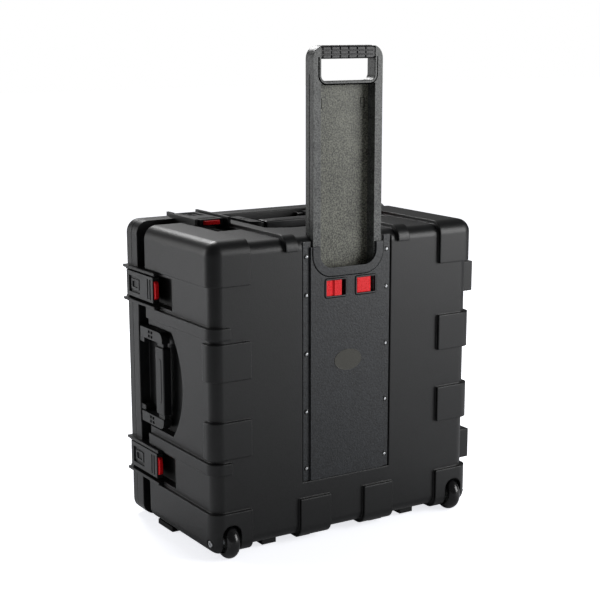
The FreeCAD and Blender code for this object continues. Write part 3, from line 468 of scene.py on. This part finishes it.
def u_liner(name, out_mm, thick_mm, proud_mm, material):
    """A U-shaped lip round the handle's hand opening, open at the top."""
    outer = window_half + out_mm * MM
    lip = block_piece(name, Vector((middle_x - outer, frame_low.y - proud_mm * MM,
                                    window_floor - out_mm * MM)),
                      Vector((middle_x + outer, frame_low.y + 3 * MM, grip_low.z + 6 * MM)))
    low_edge = window_floor - out_mm * MM + MM
    round_edges(lip, lambda a, b: runs_along(1)(a, b) and a.z < low_edge, 14 + out_mm, 12)
    inner = outer - thick_mm * MM
    floor_z = window_floor - out_mm * MM + thick_mm * MM
    core = block_piece(name + "_core", Vector((middle_x - inner, frame_low.y - 9 * MM, floor_z)),
                       Vector((middle_x + inner, frame_low.y + 9 * MM, grip_low.z + 20 * MM)))
    round_edges(core, lambda a, b: runs_along(1)(a, b) and a.z < floor_z + MM,
                14 + out_mm - thick_mm, 12)
    carve(lip, core)
    soften(lip, 0.3, steps=2)
    fit(lip, "trolley", "rail_plastic", material)


# A thin U band of painted shadow round the lip, then the lip itself.
u_liner("window_shadow_gap", 7.2, 3.0, 0.2, painted_shadow_black)
u_liner("window_lip", 4.2, 4.2, 0.9, rail_plastic)

# Two clips hold the panel's top corners; their outlines are thin rings of painted shadow.
panel_low, panel_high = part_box("trolley_panel")
for side, clip_x in (("left", panel_low.x + 9 * MM), ("right", panel_high.x - 20 * MM)):
    window_ring(f"panel_clip_{side}", Vector((clip_x, 0, panel_high.z - 52 * MM)),
                Vector((clip_x + 9 * MM, 0, panel_high.z - 32 * MM)), 1.1 * MM,
                (panel_low.y - 0.15 * MM, panel_low.y + 0.5 * MM), 2.2, 0.05, "trolley",
                "panel_plastic", painted_shadow_black)

# The grip: rows of small raised pads moulded in black thermoplastic rubber.
grip_rubber = moulded("thermoplastic_rubber_black", "#0b0c0d", "#15161a", 0.36, 1.4, 0.12,
                      gloss=0.45)
core = block_piece("grip_core", grip_low + Vector((0, 2.2 * MM, 1.5 * MM)),
                   grip_high - Vector((0, 2.2 * MM, 1.8 * MM)))
round_edges(core, runs_along(0), 5, 5)
soften(core, 0.4, steps=1)
fit(core, "trolley", "rubber", grip_rubber, "trolley_grip")
columns = 6
pad_long = (grip_high.x - grip_low.x - 8 * MM) / columns
pads = []
for column in range(columns):
    start = grip_low.x + 4 * MM + column * pad_long
    for row in range(3):
        height = grip_low.z + (3.2 + row * 8.4) * MM
        for face in (grip_low.y + 0.3 * MM, grip_high.y - 3.1 * MM):
            pads.append(block_piece("pad", Vector((start + 1.2 * MM, face, height)),
                                    Vector((start + pad_long - 1.2 * MM, face + 2.8 * MM,
                                            height + 6.6 * MM))))
    for row in range(2):
        depth = grip_low.y + (6 + row * 10.5) * MM
        pads.append(block_piece("pad", Vector((start + 1.2 * MM, depth,
                                               grip_high.z - 2.8 * MM)),
                                Vector((start + pad_long - 1.2 * MM, depth + 8 * MM,
                                        grip_high.z - 0.2 * MM))))
grip_pads = join(pads, "grip_pads")
soften(grip_pads, 1.0, steps=3)
fit(grip_pads, "trolley", "rubber", grip_rubber)

# ---------------------------------------------------------------- wheels
# Two narrow wheels of glossy black polyurethane on nylon cores, with steel bearings.
tyre_rubber = moulded("polyurethane_gloss_black", "#0b0b0d", "#141416", 0.22, 6.0, 0.03,
                      gloss=0.6)
for side in ("left", "right"):
    recoat(tyre_rubber, f"wheel_{side}_tyre")
    recoat(rail_plastic, f"wheel_{side}_core")
    recoat(zinc, f"wheel_{side}_bearings", f"wheel_{side}_spacer", f"axle_{side}_washers")
    axle = copy_of(f"axle_{side}", f"axle_bolt_{side}")
    axle_low, axle_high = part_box(f"axle_{side}")
    face_x = axle_high.x if side == "right" else axle_low.x
    centre = (face_x, (axle_low.y + axle_high.y) / 2, (axle_low.z + axle_high.z) / 2)
    carve(axle, turned_piece(centre, 3.4 * MM, 5 * MM, (0, math.radians(90), 0), 6))
    soften(axle, 0.6, steps=2)
    fit(axle, "base", "steel", zinc, f"axle_{side}")

# ---------------------------------------------------------------- carrying handles
# Each handle is a nylon bow on two steel pins, with an over-moulded rubber grip.
bow_plastic = moulded("nylon_black_satin", "#121314", "#1e1f20", 0.38, 1.5, 0.08)
for side, body in (("left", "handle_left"), ("top", "handle_top")):
    bow_low, bow_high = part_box(f"handle_{side}_frame")
    along = 2 if side == "left" else 0
    thin = 0 if side == "left" else 2
    bow = copy_of(f"handle_{side}_frame", f"bow_{side}")
    round_edges(bow, lambda a, b: runs_along(thin)(a, b) and a.y < bow_low.y + 2 * MM
                and min(abs(a[along] - bow_low[along]), abs(a[along] - bow_high[along])) < MM,
                18, 8)
    soften(bow, 2.0, steps=3)
    fit(bow, body, "lever_plastic", bow_plastic, f"handle_{side}_frame")
    sleeve = copy_of(f"handle_{side}_grip", f"sleeve_{side}")
    soften(sleeve, 6.0, steps=5, sharpest=60)
    fit(sleeve, body, "rubber", grip_rubber, f"handle_{side}_grip")
    sleeve_low, sleeve_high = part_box(f"handle_{side}_grip")
    pad_low, pad_high = sleeve_low.copy(), sleeve_high.copy()
    pad_low.y += 11 * MM
    pad_high.y -= 11 * MM
    pad_low[along] += 26 * MM
    pad_high[along] -= 26 * MM
    if side == "left":
        pad_high.x = pad_low.x + 2 * MM
        pad_low.x -= 0.9 * MM
    else:
        pad_low.z = pad_high.z - 2 * MM
        pad_high.z += 0.9 * MM
    cushion = rounded_slab(f"grip_inlay_{side}", pad_low, pad_high, 8.5, axis=thin, steps=10)
    soften(cushion, 0.7, steps=3)
    fit(cushion, body, "rubber", grip_rubber)
recoat(zinc, "handle_pins", "latch_pins", "hinge_pins")

# ---------------------------------------------------------------- latches
# Four toggle latches: a nylon lever with a framed pocket near its pin, and a red sprung
# button across its tail.
lever_plastic = moulded("nylon_dark_grey_satin", "#18191a", "#27292a", 0.36, 1.5, 0.08)


def lever_block(name, latch, span_mm, half_mm, deep_mm, proud_mm=2.0):
    """A rounded block at a lever's outer face, between two distances from its tail."""
    lever_low, lever_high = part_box(latch + "_lever")
    on_side = latch.startswith("latch_left")
    outer_axis, cross = (0, 2) if on_side else (2, 0)
    face = lever_low.x if on_side else lever_high.z
    inward = MM if on_side else -MM
    middle = (lever_low[cross] + lever_high[cross]) / 2
    low, high = Vector(), Vector()
    low.y, high.y = (lever_low.y + distance * MM for distance in span_mm)
    low[cross], high[cross] = middle - half_mm * MM, middle + half_mm * MM
    low[outer_axis], high[outer_axis] = sorted((face - inward * proud_mm,
                                                face + inward * deep_mm))
    return rounded_slab(name, low, high, 2.5, axis=outer_axis, steps=4)


for latch in ("latch_left_upper", "latch_left_lower", "latch_top_left", "latch_top_right"):
    lever = copy_of(latch + "_lever", latch + "_handle")
    carve(lever, lever_block("framed_pocket", latch, (66, 122), 19, 4.5))
    for thumb_groove_span in ((10, 16), (22, 28)):
        carve(lever, lever_block("thumb_scoop", latch, thumb_groove_span, 23, 1.6))
    soften(lever, 1.2, steps=3)
    fit(lever, latch, "lever_plastic", lever_plastic, latch + "_lever")
    bridge = lever_block(latch + "_bridge", latch, (74, 113), 12, 5.5, proud_mm=-1.6)
    carve(bridge, lever_block("bridge_hollow", latch, (80, 107), 7, 5))
    soften(bridge, 0.7, steps=2)
    fit(bridge, latch, "lever_plastic", lever_plastic)
    button = copy_of(latch + "_trigger", latch + "_push")
    round_edges(button, runs_along(0 if latch.startswith("latch_left") else 2), 7.5, 8)
    soften(button, 1.6, steps=4)
    fit(button, latch + "_button", "red_plastic", red_plastic, latch + "_trigger")

# ---------------------------------------------------------------- feet
# Two moulded rubber soles under the lid side, with grooves across them.
sole_rubber = moulded("natural_rubber_black", "#0e0e0f", "#171718", 0.70, 1.8, 0.15,
                      gloss=0.35)
for side in ("left", "right"):
    foot_low, foot_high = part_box(f"foot_{side}")
    foot = copy_of(f"foot_{side}", f"sole_{side}")
    for number in range(5):
        start = foot_low.y + (8 + number * 12) * MM
        groove = block_piece("groove", Vector((foot_low.x + 6 * MM, start, foot_low.z - MM)),
                             Vector((foot_high.x - 6 * MM, start + 5 * MM,
                                     foot_low.z + 2 * MM)))
        carve(foot, groove)
    soften(foot, 1.6, steps=3)
    fit(foot, "base", "rubber", sole_rubber, f"foot_{side}")

# ---------------------------------------------------------------- floor, light, camera
# A pale plain floor under three soft boxes. The trolley side mirrors the one at the right
# front, the handle side mirrors the one at the left behind, and one overhead behind draws
# the top edges. Towards the camera the floor is lifted to the white of the backdrop.
bpy.ops.object.select_all(action="DESELECT")
bpy.ops.mesh.primitive_plane_add(size=40.0, location=(0, 0, cad_low.z))
floor = bpy.context.object
floor.name = "floor"
bpy.ops.object.transform_apply(location=True, rotation=True, scale=True)
floor_finish = bpy.data.materials.new("pale_studio_floor")
floor_finish.use_nodes = True
floor_shader = floor_finish.node_tree.nodes["Principled BSDF"]
floor_shader.inputs["Base Color"].default_value = linear("#f4f5f8")
floor_shader.inputs["Roughness"].default_value = 0.9
floor_shader.inputs["Specular IOR Level"].default_value = 0.1
floor_shader.inputs["Emission Color"].default_value = linear("#fafbff")
seen = add_node(floor_finish.node_tree, "ShaderNodeLightPath").outputs["Is Camera Ray"]
spot = add_node(floor_finish.node_tree, "ShaderNodeTexCoord").outputs["Object"]
away = add_node(floor_finish.node_tree, "ShaderNodeVectorMath", {0: spot},
                operation="LENGTH")
fading = add_node(floor_finish.node_tree, "ShaderNodeMapRange", {
    "Value": away.outputs["Value"], "From Min": 0.55, "From Max": 1.5,
    "To Min": 0.78, "To Max": 1.0})
lift = add_node(floor_finish.node_tree, "ShaderNodeMath", {
    0: seen, 1: fading.outputs["Result"]}, operation="MULTIPLY")
floor_finish.node_tree.links.new(lift.outputs["Value"],
                                 floor_shader.inputs["Emission Strength"])
floor.data.materials.append(floor_finish)


def soft_light(name, place, size, power, colour="#ffffff"):
    """A square soft box that looks at the middle of the object."""
    lamp = bpy.data.lights.new(name, "AREA")
    lamp.size = size
    lamp.energy = power
    lamp.color = linear(colour)[:3]
    stand = bpy.data.objects.new(name, lamp)
    stand.location = place
    aim = (cad_low + cad_high) / 2 - Vector(place)
    stand.rotation_euler = aim.to_track_quat("-Z", "Y").to_euler()
    bpy.context.collection.objects.link(stand)


soft_light("right_front", (2.3, -2.5, 1.35), 1.9, 72)
soft_light("left_behind", (-2.7, 2.3, 1.1), 2.0, 33)
soft_light("overhead_behind", (0.4, 2.6, 3.2), 1.4, 90)
world = bpy.data.worlds.new("studio")
world.use_nodes = True
backdrop = world.node_tree.nodes["Background"]
backdrop.inputs["Color"].default_value = linear("#ffffff")
sky_seen = add_node(world.node_tree, "ShaderNodeLightPath").outputs["Is Camera Ray"]
sky_level = add_node(world.node_tree, "ShaderNodeMapRange", {
    "Value": sky_seen, "To Min": 0.11, "To Max": 1.0})
world.node_tree.links.new(sky_level.outputs["Result"], backdrop.inputs["Strength"])
bpy.context.scene.world = world
bpy.context.scene.view_settings.view_transform = "Standard"

lens = bpy.data.cameras.new("camera")
lens.lens = 83.99
lens.sensor_width = 36.0
lens.shift_y = 0.0501
viewer = bpy.data.objects.new("camera", lens)
viewer.location = (-1.7156, -2.7256, 1.1436)
viewer.rotation_euler = (math.radians(90 - 12.346), math.radians(0.08), math.radians(-32.196))
bpy.context.collection.objects.link(viewer)
bpy.context.scene.camera = viewer
